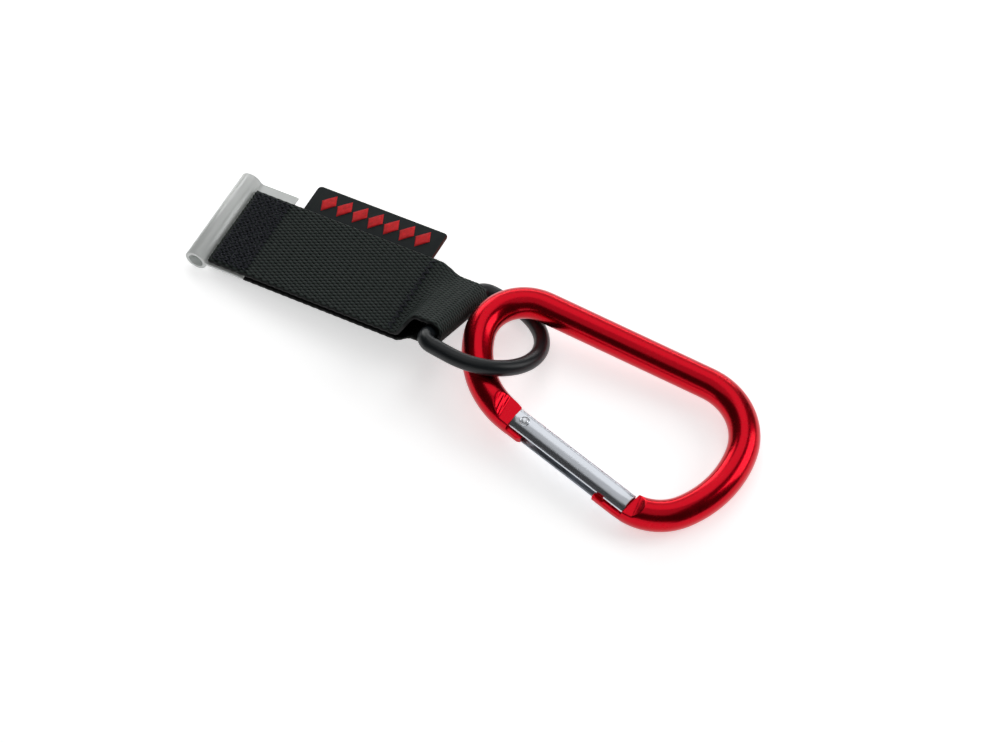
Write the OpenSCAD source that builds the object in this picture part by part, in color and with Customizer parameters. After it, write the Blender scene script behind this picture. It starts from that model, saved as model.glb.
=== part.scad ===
// Carabiner keyring: a red asymmetric carabiner hangs from a black D-ring, which is
// held in the folded end of a short webbing strap. The strap's cut ends are sewn over
// the flap of a clear tube sleeve, and a woven label is sewn into its long edge.
// X runs along the strap towards the ring, Y along the sleeve's bore, Z is up, and the
// origin is the middle of the bore. The pieces lie as they rest on a table.

/* [Sleeve] */
// Length of the clear tube and its flap
sleeve_len = 28.5; // [26:0.5:40]
// Outside diameter of the tube
sleeve_d = 6; // [5:0.5:8]
// Wall thickness of the tube
sleeve_wall = 1; // [0.75:0.25:1.25]
// Thickness of the flap
flap_t = 0.8; // [0.5:0.1:1.2]
// Length of flap held between the webbing layers
flap_grip = 10.5; // [8:0.5:13]
// Sideways offset of the strap from the middle of the sleeve
sleeve_shift = 1.2; // [0:0.1:1.5]

/* [Strap] */
// Width of the webbing
strap_w = 25; // [20:1:30]
// Thickness of one layer of webbing
web_t = 1.3; // [1:0.1:1.8]
// Length from the cut ends to the bar of the ring
strap_len = 64.4; // [58:0.5:90]
// Diameter of the sewing thread
thread_d = 0.45; // [0.3:0.05:0.6]
// Stitches in one row across the strap
stitches = 9; // [6:1:9]

/* [Label] */
// Length of the label along the strap
label_len = 38.3; // [24:0.1:40]
// Height of label that shows beyond the edge of the strap
label_show = 8.9; // [6:0.1:14]
// Thickness of the folded label
label_t = 0.8; // [0.6:0.1:1]
// Number of embroidered diamonds
diamonds = 7; // [3:1:8]

/* [Ring] */
// Thickness of the ring's round section
ring_d = 4.1; // [3:0.1:5]
// Room beside the webbing on the ring's bar, both sides together
ring_side_room = 3.3; // [2:0.1:5]
// Radius of the two corners at the bar, on the centre line
ring_corner_r = 3; // [2.8:0.1:4]
// Length of the straight arms
ring_arm = 5; // [3:0.5:12]

/* [Carabiner] */
// Diameter of the rod
rod_d = 8; // [6:0.25:9.5]
// Length of the straight spine
spine_len = 45.2; // [38:0.2:70]
// Centre-line radii of the narrow end, from the spine to the hinge
narrow_r = [11.6, 25.7, 23.3];
// Turns of the first two bends of the narrow end, in degrees
narrow_turn = [105.5, 26];
// Centre-line radii of the wide end, from the spine to the nose
wide_r = [16, 28.7, 13.8];
// Turns of the first two bends of the wide end, in degrees
wide_turn = [82, 45];
// Slant of the gate from the spine, in degrees
gate_slant = 13; // [12:0.5:16]
// Thickness of the flattened tang and tongue
tang_t = 4.8; // [4:0.1:5.2]

/* [Gate] */
// Width of the channel seen from above
gate_w = 5.5; // [5:0.1:6]
// Thickness of the sheet
sheet_t = 0.6; // [0.4:0.05:0.7]
// Length of the channel past the rivet
gate_tail = 2.8; // [2.4:0.1:3]
// Diameter of the rivet's shank
rivet_d = 1.8; // [1.4:0.1:2]
// Outside diameter of the return spring
spring_d = 2.4; // [2.2:0.1:2.6]
// Thickness of the spring wire
wire_d = 0.4; // [0.3:0.05:0.45]
// Turns of the spring
spring_turns = 10; // [6:1:12]

/* [Hidden] */
$fn = 64;

// clearances
running_gap = 0.05;  // round the rivet in the tang
sheet_gap = 0.15;    // between the channel and the tang
fold_gap = 0.25;     // between the webbing and the ring's bar
rest_gap = 0.35;     // between the ring and the rod where they lie on each other
lay_gap = 0.02;      // under thread that lies on a surface
slot_gap = 0.05;     // round the flap and the label between the layers

// strap, measured along it from the sleeve's axis
insert_t = max(flap_t, label_t) + 2 * slot_gap;
strap_half_t = web_t + insert_t / 2;
cut_x = sleeve_d / 2 + 0.6;
bar_x = cut_x + strap_len;
fold_r = ring_d / 2 + fold_gap;
neck_x = bar_x - ring_d;
tack_x = bar_x - 10;
label_x = tack_x - 2.8 - label_len;
label_grip = 5;

// ring: bar along Y, arms along X, half round end
ring_half = (strap_w + ring_side_room + ring_d) / 2;
hang_x = ring_corner_r + ring_arm + 0.43 * ring_half;
hang_half = sqrt(pow(ring_half, 2) - pow(0.43 * ring_half, 2));

// rest pose: one arm of the ring lies under the rod and the other lies over it
ring_roll = asin((rod_d / 2 + ring_d / 2 + rest_gap) / hang_half);
ring_dip = 2.8;
bar_z = (ring_d - sleeve_d) / 2 + ring_half * sin(ring_roll) + (ring_corner_r + ring_arm) * sin(ring_dip);
strap_rise = asin(bar_z / bar_x);

// end of a bend that starts at p with heading h: radius r, turn a, side 1 left or -1 right
function bend_end(p, h, r, a, side) =
    p + r * side * [-sin(h), cos(h)] + r * side * [sin(h + side * a), -cos(h + side * a)];

narrow_a = [narrow_turn[0], narrow_turn[1], 180 - gate_slant - narrow_turn[0] - narrow_turn[1]];
wide_a = [wide_turn[0], wide_turn[1], 180 + gate_slant - wide_turn[0] - wide_turn[1]];
narrow_1 = bend_end([-spine_len / 2, 0], 180, narrow_r[0], narrow_a[0], 1);
narrow_2 = bend_end(narrow_1, 180 + narrow_a[0], narrow_r[1], narrow_a[1], 1);
hinge_end = bend_end(narrow_2, 180 + narrow_a[0] + narrow_a[1], narrow_r[2], narrow_a[2], 1);
wide_1 = bend_end([spine_len / 2, 0], 0, wide_r[0], wide_a[0], -1);
wide_2 = bend_end(wide_1, -wide_a[0], wide_r[1], wide_a[1], -1);
nose_end = bend_end(wide_2, -wide_a[0] - wide_a[1], wide_r[2], wide_a[2], -1);

// point of the narrow end that lies in the ring, and how the carabiner lies
hang_point = [-spine_len / 2 - 0.44 * narrow_r[0], -1.19 * narrow_r[0]];
carabiner_roll = 2;
carabiner_yaw = 1;
carabiner_reach = spine_len / 2 + wide_r[0] - hang_point.x;
carabiner_dip = asin((bar_z - hang_x * sin(ring_dip) + (sleeve_d - rod_d) / 2 - 0.5) / carabiner_reach);

// gate, measured from its rivet towards the nose
gate_angle = atan2(nose_end.y - hinge_end.y, nose_end.x - hinge_end.x);
rivet_back = 4.4;
rivet_at = hinge_end + rivet_back * [cos(gate_angle), sin(gate_angle)];
gate_span = norm(nose_end - rivet_at);
gate_end = gate_span + 2;
gate_h = tang_t + 2 * (sheet_gap + sheet_t);
tang_q = gate_w / 2 - sheet_t - 0.25;
tongue_q = tang_q - 0.5;
tang_end = 1.6;
step_back = 7.7;
lip_x = gate_end - 8.5;
tab_x = 14.5;
plunger_x = tang_end + 0.1;
plunger_head = 1.3;

// frames, each placing its children on the resting keyring
module strap_frame() {
    translate([0, -sleeve_shift, 0]) rotate([0, -strap_rise, 0]) children();
}
module bar_frame() {
    strap_frame() translate([bar_x, 0, 0]) rotate([-ring_roll, 0, 0]) children();
}
module ring_frame() {
    bar_frame() rotate([0, strap_rise + ring_dip, 0]) children();
}
module carabiner_frame() {
    ring_frame() translate([hang_x, 0, 0])
        rotate([0, -strap_rise - ring_dip, 0]) rotate([ring_roll, 0, 0]) rotate([0, strap_rise, 0])
            rotate([0, carabiner_dip, 0]) rotate([0, 0, carabiner_yaw]) rotate([carabiner_roll, 0, 0])
                translate([-hang_point.x, -hang_point.y, 0]) children();
}
module on_gate() {
    translate([rivet_at.x, rivet_at.y, 0]) rotate([0, 0, gate_angle]) children();
}
module gate_frame() {
    carabiner_frame() on_gate() children();
}

// solid forms that repeat
module along_x(length) {
    rotate([90, 0, 90]) linear_extrude(length) children();
}
module rod(from, to, d) {
    way = to - from;
    translate([from.x, from.y, 0]) rotate([0, 0, atan2(way.y, way.x)])
        rotate([0, 90, 0]) cylinder(d = d, h = norm(way));
}
module bend(p, h, r, a, side, d) {
    centre = p + r * side * [-sin(h), cos(h)];
    start = atan2(-side * cos(h), side * sin(h));
    translate([centre.x, centre.y, 0]) rotate([0, 0, side > 0 ? start : start - a])
        rotate_extrude(angle = a) translate([r, 0]) circle(d = d);
}
module block(x0, x1, y0, y1, z0, z1) {
    translate([x0, y0, z0]) cube([x1 - x0, y1 - y0, z1 - z0]);
}
// a flat bar that turns by the ring's roll and grows thicker along the neck, running on past
// both ends of the neck by extra
module neck(width, half_0, half_1, extra = 0) {
    slices = 16;
    length = neck_x - tack_x;
    points = [for (i = [0 : slices])
        let (x = -extra + (length + 2 * extra) * i / slices, t = min(max(x / length, 0), 1),
             part = t * t * (3 - 2 * t), turn = -ring_roll * part, half = half_0 + (half_1 - half_0) * part)
        for (corner = [[-1, -1], [1, -1], [1, 1], [-1, 1]])
            let (y = corner.x * width / 2, z = corner.y * half)
            [tack_x + x, y * cos(turn) - z * sin(turn), y * sin(turn) + z * cos(turn)]];
    walls = [for (i = [0 : slices - 1], k = [0 : 3])
        let (a = 4 * i + k, b = 4 * i + (k + 1) % 4)
        for (face = [[a, a + 4, b + 4], [a, b + 4, b]]) face];
    polyhedron(points, concat([[0, 1, 2, 3]], walls, [[for (k = [3 : -1 : 0]) 4 * slices + k]]), convexity = 4);
}
// one row of stitches across the strap, on its top and its underside
module stitch_row(x, count) {
    pitch = (strap_w - 2) / count;
    for (i = [0 : count - 1], side = [-1, 1])
        translate([x, (i - (count - 1) / 2) * pitch, side * (strap_half_t + thread_d / 2 + lay_gap)])
            rotate([90, 0, 0]) cylinder(d = thread_d, h = 0.78 * pitch, center = true, $fn = 24);
}
module diamond(w, h) {
    polygon([[-w / 2, 0], [0, -h / 2], [w / 2, 0], [0, h / 2]]);
}

// clear tube with the flap that the webbing grips
module clear_sleeve() {
    color("lightgray", 0.6) difference() {
        union() {
            rotate([90, 0, 0]) cylinder(d = sleeve_d, h = sleeve_len, center = true);
            rotate([0, -strap_rise, 0])
                block(0, cut_x + flap_grip, -sleeve_len / 2, sleeve_len / 2, -flap_t / 2, flap_t / 2);
        }
        rotate([90, 0, 0]) cylinder(d = sleeve_d - 2 * sleeve_wall, h = sleeve_len + 2, center = true);
    }
}

// one length of webbing folded round the ring's bar, its two layers sewn together
module webbing_strap() {
    color("#1b1f20") {
        strap_frame() difference() {
            block(cut_x, tack_x, -strap_w / 2, strap_w / 2, -strap_half_t, strap_half_t);
            block(cut_x - 1, cut_x + flap_grip + 0.3, -strap_w, strap_w, -insert_t / 2, insert_t / 2);
            block(label_x - 0.2, label_x + label_len + 0.2, strap_w / 2 - label_grip - 0.2, strap_w,
                  -insert_t / 2, insert_t / 2);
        }
        strap_frame() difference() {
            neck(strap_w, strap_half_t, fold_r + web_t);
            neck(strap_w + 4, insert_t / 2, fold_r, 0.5);
        }
        bar_frame() difference() {
            union() {
                block(neck_x - bar_x - 0.02, 0, -strap_w / 2, strap_w / 2, -fold_r - web_t, fold_r + web_t);
                rotate([90, 0, 0]) cylinder(r = fold_r + web_t, h = strap_w, center = true);
            }
            block(neck_x - bar_x - 1, 0, -strap_w, strap_w, -fold_r, fold_r);
            rotate([90, 0, 0]) cylinder(r = fold_r, h = 2 * strap_w, center = true);
        }
    }
}

// rows of thread that hold the layers over the sleeve's flap
module sleeve_stitching() {
    color("#20242c") strap_frame()
        for (x = [cut_x + 2 : 2.8 : cut_x + flap_grip]) stitch_row(x, stitches);
}

// two rows of thread that close the fold behind the ring
module ring_stitching() {
    color("#20242c") strap_frame()
        for (x = [tack_x - 2.2, tack_x - 0.8]) stitch_row(x, stitches);
}

// folded woven label, its lower edge between the layers
module label_tape() {
    corner = 1.2;
    color("#1d2022") strap_frame() translate([label_x, strap_w / 2 - label_grip, -label_t / 2])
        linear_extrude(label_t) union() {
            square([label_len, label_grip + label_show - corner]);
            translate([corner, 0]) square([label_len - 2 * corner, label_grip + label_show]);
            for (x = [corner, label_len - corner])
                translate([x, label_grip + label_show - corner]) circle(corner);
        }
}

// plain row of satin-stitched diamonds raised on the label
module label_embroidery() {
    pitch = (label_len - 6) / diamonds;
    color("#d0151c") strap_frame() translate([label_x, strap_w / 2, label_t / 2 + lay_gap])
        linear_extrude(0.35)
            for (i = [0 : diamonds - 1])
                translate([3 + pitch * (i + 0.5), label_show / 2 + 0.2]) diamond(0.88 * pitch, 0.66 * label_show);
}

// moulded ring: bar, two corners, two arms and a half round end
module d_ring() {
    bar_half = ring_half - ring_corner_r;
    arm_end = ring_corner_r + ring_arm;
    color("#1e2124") ring_frame() union() {
        rod([0, -bar_half], [0, bar_half], ring_d);
        bend([0, bar_half], 90, ring_corner_r, 90, -1, ring_d);
        rod([ring_corner_r, ring_half], [arm_end, ring_half], ring_d);
        bend([arm_end, ring_half], 0, ring_half, 180, -1, ring_d);
        rod([ring_corner_r, -ring_half], [arm_end, -ring_half], ring_d);
        bend([ring_corner_r, -ring_half], 180, ring_corner_r, 90, -1, ring_d);
    }
}

// one bend of the carabiner's rod, with a collar a hair larger than the rod at its start
module rod_bend(p, h, r, a, side) {
    trim = asin(0.1 / r);
    bend(bend_end(p, h, r, trim, side), h + side * trim, r, a - 2 * trim, side, rod_d);
    collar(p, h);
}
module collar(p, h) {
    half = 0.3;
    rod(p - half * [cos(h), sin(h)], p + half * [cos(h), sin(h)], rod_d + 0.1);
}
// the bent rod before its ends are machined
module bent_rod() {
    along_gate = [cos(gate_slant), -sin(gate_slant)];
    rod([0.1 - spine_len / 2, 0], [spine_len / 2 - 0.1, 0], rod_d);
    rod_bend([-spine_len / 2, 0], 180, narrow_r[0], narrow_a[0], 1);
    rod_bend(narrow_1, 180 + narrow_a[0], narrow_r[1], narrow_a[1], 1);
    rod_bend(narrow_2, 180 + narrow_a[0] + narrow_a[1], narrow_r[2], narrow_a[2], 1);
    rod_bend([spine_len / 2, 0], 0, wide_r[0], wide_a[0], -1);
    rod_bend(wide_1, -wide_a[0], wide_r[1], wide_a[1], -1);
    rod_bend(wide_2, -wide_a[0] - wide_a[1], wide_r[2], wide_a[2], -1);
    collar(hinge_end, -gate_slant);
    rod(hinge_end + 0.1 * along_gate, hinge_end + (rivet_back + tang_end) * along_gate, rod_d);
    collar(nose_end, -gate_slant);
    rod(nose_end - 0.1 * along_gate, nose_end - (gate_span - lip_x) * along_gate, rod_d);
}
// milled flats on both faces from x0 to x1, with a ramp out past x1
module flats(x0, x1, ramp) {
    for (side = [0, 1]) mirror([0, 0, side])
        rotate([90, 0, 0]) linear_extrude(3 * rod_d, center = true)
            polygon([[x0, tang_t / 2], [x1, tang_t / 2], [x1 + ramp, rod_d], [x0, rod_d]]);
}
// bent rod with a drilled tang at the hinge and a hooked tongue at the nose
module carabiner_body() {
    shoulder = gate_end + 0.35;
    color("#c3121f") carabiner_frame() difference() {
        bent_rod();
        on_gate() {
            flats(tang_end + 1, -step_back, -3.5);
            flats(lip_x - 1, gate_end + 1.6, 4);
            translate([0, 0, -rod_d]) linear_extrude(2 * rod_d) {
                polygon([[-step_back, rod_d / 2], [-gate_tail - 0.4, gate_w / 2 + 0.1], [-gate_tail - 0.4, tang_q],
                         [tang_end + 1, tang_q], [tang_end + 1, rod_d], [-step_back, rod_d]]);
                polygon([[tang_end - 1, -rod_d / 2], [tang_end + 1, -rod_d / 2], [tang_end + 1, -gate_w / 2]]);
                polygon([[lip_x - 1, -gate_w / 2 - 0.3], [lip_x + 2.5, -gate_w / 2 - 0.3],
                         [lip_x + 4, tongue_q], [shoulder, tongue_q], [shoulder, rod_d], [lip_x - 1, rod_d]]);
            }
            cylinder(d = rivet_d + 2 * running_gap, h = 2 * rod_d, center = true);
        }
    }
}

// section of the gate: a channel with a rounded back, open towards the outside
module channel_section(width, height, radius) {
    translate([-gate_w / 2, -height / 2]) square([gate_w / 2 + width - radius, height]);
    translate([0, radius - height / 2]) square([width, height - 2 * radius]);
    for (side = [-1, 1]) translate([width - radius, side * (height / 2 - radius)]) circle(radius);
}
// stamped gate with the rivet holes, a notch that clears the tang and the spring's tab
module gate_channel() {
    inside_h = gate_h - 2 * sheet_t;
    inside_q = gate_w / 2 - sheet_t;
    color("silver") gate_frame() {
        difference() {
            translate([-gate_tail, 0, 0]) along_x(gate_tail + gate_end)
                channel_section(gate_w / 2, gate_h, 1.6);
            translate([-gate_tail - 1, -0.01, 0]) along_x(gate_tail + gate_end + 2) {
                channel_section(inside_q, inside_h, 1);
                translate([-gate_w / 2 - 1, -inside_h / 2]) square([2, inside_h]);
            }
            block(-gate_tail - 1, 2.6, 0, gate_w, -inside_h / 2, inside_h / 2);
            cylinder(d = rivet_d + 2 * lay_gap, h = 2 * gate_h, center = true);
        }
        block(tab_x, tab_x + sheet_t, -gate_w / 3, inside_q + 0.2, -inside_h / 2 + 0.8, inside_h / 2 - 0.8);
    }
}

// rivet with a domed head on each side of the gate
module gate_rivet() {
    head_r = 1.3;
    dome_r = 1.9;
    rim = 0.22;
    color("lightgray") gate_frame() {
        cylinder(d = rivet_d, h = gate_h + 2 * lay_gap + 0.1, center = true);
        for (side = [0, 1]) mirror([0, 0, side]) translate([0, 0, gate_h / 2 + lay_gap]) {
            cylinder(r = head_r, h = rim);
            intersection() {
                translate([0, 0, rim - sqrt(pow(dome_r, 2) - pow(head_r, 2))]) sphere(dome_r);
                cylinder(r = head_r, h = 1);
            }
        }
    }
}

// pin that the spring pushes against the end of the tang
module gate_plunger() {
    color("darkgray") gate_frame() translate([plunger_x, 0, 0]) rotate([0, 90, 0]) {
        cylinder(r = 1.1, h = plunger_head);
        cylinder(r = 0.55, h = plunger_head + 6);
    }
}

// coil spring between the pin's head and the tab
module gate_spring() {
    start = plunger_x + plunger_head + wire_d / 2 + lay_gap;
    length = tab_x - lay_gap - wire_d / 2 - start;
    coil_r = (spring_d - wire_d) / 2;
    sides = 8;
    steps = 20 * spring_turns;
    points = [for (i = [0 : steps], k = [0 : sides - 1])
        let (turn = 360 * spring_turns * i / steps, around = 360 * k / sides,
             r = coil_r + wire_d / 2 * cos(around))
        [start + length * i / steps + wire_d / 2 * sin(around), r * cos(turn), r * sin(turn)]];
    walls = [for (i = [0 : steps - 1], k = [0 : sides - 1])
        let (next = (k + 1) % sides)
        [i * sides + k, i * sides + next, (i + 1) * sides + next, (i + 1) * sides + k]];
    ends = [[for (k = [0 : sides - 1]) sides - 1 - k], [for (k = [0 : sides - 1]) steps * sides + k]];
    color("gray") gate_frame() polyhedron(points, concat(walls, ends), convexity = 10);
}

clear_sleeve();
webbing_strap();
sleeve_stitching();
ring_stitching();
label_tape();
label_embroidery();
d_ring();
carabiner_body();
gate_channel();
gate_rivet();
gate_plunger();
gate_spring();
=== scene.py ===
"""Looks of the carabiner keyring: a red anodised carabiner and a black moulded ring on a short
webbing strap, whose ends are sewn over the flap of a clear vinyl tube.

All shapes are worked out in millimetres in the frames of the strap, the ring, the carabiner and the
gate, and are put into metres when their meshes are made.
"""

import math

import bpy
import numpy as np
from bpy.props import FloatProperty, FloatVectorProperty, IntProperty, PointerProperty
from bpy.types import Operator, Panel, PropertyGroup
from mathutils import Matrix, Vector


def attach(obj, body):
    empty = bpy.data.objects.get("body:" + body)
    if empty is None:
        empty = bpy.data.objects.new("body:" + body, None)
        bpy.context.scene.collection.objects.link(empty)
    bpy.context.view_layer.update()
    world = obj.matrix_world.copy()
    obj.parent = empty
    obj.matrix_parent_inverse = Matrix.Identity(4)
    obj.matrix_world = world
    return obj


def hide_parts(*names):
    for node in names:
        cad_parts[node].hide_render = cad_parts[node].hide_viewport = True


bl_info = {
    "name": "Carabiner Keyring",
    "version": (1, 0, 0),
    "blender": (4, 5, 0),
    "location": "View3D > Sidebar > Keyring",
    "description": "Builds the visible pieces, finishes and studio of a carabiner keyring",
    "category": "Add Mesh",
}

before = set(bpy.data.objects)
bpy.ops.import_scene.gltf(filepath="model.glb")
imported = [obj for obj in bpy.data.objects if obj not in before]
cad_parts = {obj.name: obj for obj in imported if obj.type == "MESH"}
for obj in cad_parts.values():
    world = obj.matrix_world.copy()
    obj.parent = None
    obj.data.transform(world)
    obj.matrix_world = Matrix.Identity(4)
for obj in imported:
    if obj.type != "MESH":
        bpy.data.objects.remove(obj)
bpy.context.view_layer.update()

TACK_BACK = 10.0  # from the ring's bar back to the stitching that closes the fold, mm
LABEL_GAP = 2.8  # from that stitching to the label, mm
HANG_SHARE = 0.43  # height of the carabiner on the ring's half circle, as a share of its radius
TAB_X = 14.5  # place along the gate of the tab that the spring bears on, mm
BACK_START = 2.6  # place along the gate where its back begins, mm
TANG_BACK = -7.7  # place along the gate where the tang's milled inner face begins, mm


# Sizes and colours ---------------------------------------------------------------------------


def linear(hex_colour):
    """Turns an sRGB hex colour into linear red, green and blue."""
    parts = np.array([int(hex_colour[i : i + 2], 16) / 255 for i in (0, 2, 4)])
    low, high = parts / 12.92, ((parts + 0.055) / 1.055) ** 2.4
    return tuple(float(v) for v in np.where(parts <= 0.04045, low, high))


def length(name, text, millimetres):
    return FloatProperty(name=name, description=text, default=millimetres / 1000, unit="LENGTH",
                         subtype="DISTANCE", precision=5)


def colour(name, text, hex_colour):
    return FloatVectorProperty(name=name, description=text, default=linear(hex_colour), size=3,
                               subtype="COLOR", min=0, max=1)


class KeyringSizes(PropertyGroup):
    """Sizes of the keyring's pieces."""

    sleeve_d: length("Tube diameter", "Outside diameter of the clear tube", 6.0)
    sleeve_wall: length("Tube wall", "Wall thickness of the clear tube", 1.0)
    sleeve_len: length("Tube length", "Length of the clear tube and its flap", 28.5)
    sleeve_shift: length("Tube offset", "Sideways offset of the strap from the tube", 1.2)
    flap_t: length("Flap thickness", "Thickness of the tube's flap", 0.8)
    flap_grip: length("Flap grip", "Length of flap between the webbing layers", 10.5)
    strap_w: length("Webbing width", "Width of the webbing", 25.0)
    strap_len: length("Strap length", "Length from the cut ends to the ring's bar", 64.4)
    web_t: length("Webbing thickness", "Thickness of one layer of webbing", 1.3)
    rib_pitch: length("Rib spacing", "Distance between two crosswise ribs of the weave", 1.1)
    bead_pitch: length("Bead spacing", "Distance between two beads along a rib", 1.04)
    thread_d: length("Thread", "Diameter of the sewing thread", 0.45)
    label_len: length("Label length", "Length of the label along the strap", 38.3)
    label_show: length("Label height", "Height of label beyond the webbing's edge", 8.9)
    label_t: length("Label thickness", "Thickness of the folded label", 0.8)
    ring_d: length("Ring thickness", "Thickness of the moulded ring", 4.1)
    ring_room: length("Ring side room", "Room beside the webbing on the ring's bar", 3.3)
    rod_d: length("Rod diameter", "Diameter of the carabiner's rod", 8.0)
    spine_len: length("Spine length", "Length of the carabiner's straight spine", 45.2)
    tang_t: length("Flat thickness", "Thickness of the milled tang and tongue", 4.8)
    gate_w: length("Gate width", "Width of the gate seen from above", 5.5)
    sheet_t: length("Gate sheet", "Thickness of the gate's sheet", 0.6)
    spring_d: length("Spring diameter", "Outside diameter of the return spring", 2.4)
    wire_d: length("Spring wire", "Thickness of the spring's wire", 0.4)
    diamonds: IntProperty(name="Diamonds", description="Embroidered diamonds on the label",
                          default=7, min=3, max=9)


class KeyringColours(PropertyGroup):
    """Colours of the keyring's finishes."""

    vinyl: colour("Vinyl", "Clear tube", "eef1ef")
    # the yarn colour is set lighter than the yarn itself, as a painted highlight on the bead crowns; the next
    # colour is painted shade for the gaps between the beads and for the strap's inner face
    yarn: colour("Yarn", "Tops of the webbing's yarns", "363f3c")
    yarn_gap_painted_shade: colour("Yarn in shade", "Gaps between the webbing's yarns", "050606")
    fray: colour("Frayed ends", "Cut yarn ends beside the tube", "3c4326")
    thread: colour("Thread", "Sewing thread", "171b26")
    label: colour("Label", "Woven label", "1c2223")
    label_edge: colour("Label edge", "Coloured edge of the label", "4e2420")
    stitch: colour("Embroidery", "Satin stitch on the label", "e2161e")
    acetal: colour("Ring", "Moulded ring", "15191c")
    anodised: colour("Carabiner", "Dyed anodised aluminium", "c3051c")
    zinc: colour("Gate", "Bright zinc on the steel gate", "d5d9e0")
    rivet: colour("Rivet", "Rivet of the gate", "dcdfe4")
    wire: colour("Spring", "Spring wire and pin", "8f9398")
    floor: colour("Floor", "Studio floor", "fafafa")


# Frames --------------------------------------------------------------------------------------


class Place:
    """A turned and shifted set of axes: a point goes to turn times the point, plus the shift."""

    def __init__(self, spin=None, at=None):
        self.spin = np.eye(3) if spin is None else spin
        self.at = np.zeros(3) if at is None else at

    def shift(self, x, y, z):
        return Place(self.spin, self.at + self.spin @ np.array([x, y, z], float))

    def turn(self, axis, degrees):
        i = "xyz".index(axis)
        j, k = (i + 1) % 3, (i + 2) % 3
        c, s = math.cos(math.radians(degrees)), math.sin(math.radians(degrees))
        m = np.eye(3)
        m[j, j] = m[k, k] = c
        m[j, k], m[k, j] = -s, s
        return Place(self.spin @ m, self.at)

    def put(self, points):
        return np.asarray(points) @ self.spin.T + self.at


def bend_end(p, heading, r, a, side):
    """End of an arc of radius r and turn a that leaves p along heading, to its left or right."""
    h, e = math.radians(heading), math.radians(heading + side * a)
    return (p[0] + r * side * (math.sin(e) - math.sin(h)),
            p[1] + r * side * (math.cos(h) - math.cos(e)))


class Plan:
    """Places and lengths that follow from the sizes, all in millimetres and degrees."""

    def __init__(self, s):
        for name in KeyringSizes.__annotations__:
            value = getattr(s, name)
            setattr(self, name, value if isinstance(value, int) else value * 1000)
        self.insert_t = max(self.flap_t, self.label_t) + 0.1
        self.half_t = self.web_t + self.insert_t / 2
        self.cut_x = self.sleeve_d / 2 + 0.6
        self.bar_x = self.cut_x + self.strap_len
        self.fold_r = self.ring_d / 2 + 0.25
        self.neck_x = self.bar_x - self.ring_d
        self.tack_x = self.bar_x - TACK_BACK
        self.label_x = self.tack_x - LABEL_GAP - self.label_len
        self.corner_r, self.arm = 3.0, 5.0
        self.ring_half = (self.strap_w + self.ring_room + self.ring_d) / 2
        hang_x = self.corner_r + self.arm + HANG_SHARE * self.ring_half
        hang_half = math.sqrt(self.ring_half**2 - (HANG_SHARE * self.ring_half) ** 2)
        self.roll = math.degrees(math.asin((self.rod_d / 2 + self.ring_d / 2 + 0.35) / hang_half))
        dip = 2.8
        bar_z = (self.ring_d - self.sleeve_d) / 2 + self.ring_half * math.sin(math.radians(self.roll))
        bar_z += (self.corner_r + self.arm) * math.sin(math.radians(dip))
        rise = math.degrees(math.asin(bar_z / self.bar_x))

        self.slant = 13.0
        self.narrow = [(11.6, 105.5), (25.7, 26.0), (23.3, 180 - self.slant - 131.5)]
        self.wide = [(16.0, 82.0), (28.7, 45.0), (13.8, 180 + self.slant - 127.0)]
        p, h = (-self.spine_len / 2, 0.0), 180.0
        for r, a in self.narrow:
            p, h = bend_end(p, h, r, a, 1), h + a
        self.hinge_end = p
        p, h = (self.spine_len / 2, 0.0), 0.0
        for r, a in self.wide:
            p, h = bend_end(p, h, r, a, -1), h - a
        self.nose_end = p
        self.rivet_back, self.tang_end, self.gate_tail = 4.4, 1.6, 2.8
        self.gate_angle = math.degrees(math.atan2(self.nose_end[1] - self.hinge_end[1],
                                                  self.nose_end[0] - self.hinge_end[0]))
        c, n = math.cos(math.radians(self.gate_angle)), math.sin(math.radians(self.gate_angle))
        self.rivet_at = (self.hinge_end[0] + self.rivet_back * c,
                         self.hinge_end[1] + self.rivet_back * n)
        self.gate_span = math.dist(self.nose_end, self.rivet_at)
        self.gate_end = self.gate_span + 2
        self.lip_x = self.gate_end - 8.5
        self.gate_h = self.tang_t + 2 * (0.15 + self.sheet_t)

        hang = (-self.spine_len / 2 - 0.44 * self.narrow[0][0], -1.19 * self.narrow[0][0])
        reach = self.spine_len / 2 + self.wide[0][0] - hang[0]
        drop = bar_z - hang_x * math.sin(math.radians(dip)) + (self.sleeve_d - self.rod_d) / 2 - 0.5
        tip = math.degrees(math.asin(drop / reach))
        self.strap = Place().shift(0, -self.sleeve_shift, 0).turn("y", -rise)
        self.bar = self.strap.shift(self.bar_x, 0, 0).turn("x", -self.roll)
        self.ring = self.bar.turn("y", rise + dip)
        self.carabiner = self.ring.shift(hang_x, 0, 0).turn("y", -rise - dip).turn("x", self.roll)
        self.carabiner = self.carabiner.turn("y", rise + tip).turn("z", 1).turn("x", 2)
        self.carabiner = self.carabiner.shift(-hang[0], -hang[1], 0)
        self.gate = self.carabiner.shift(*self.rivet_at, 0).turn("z", self.gate_angle)


# Surfaces ------------------------------------------------------------------------------------


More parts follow.
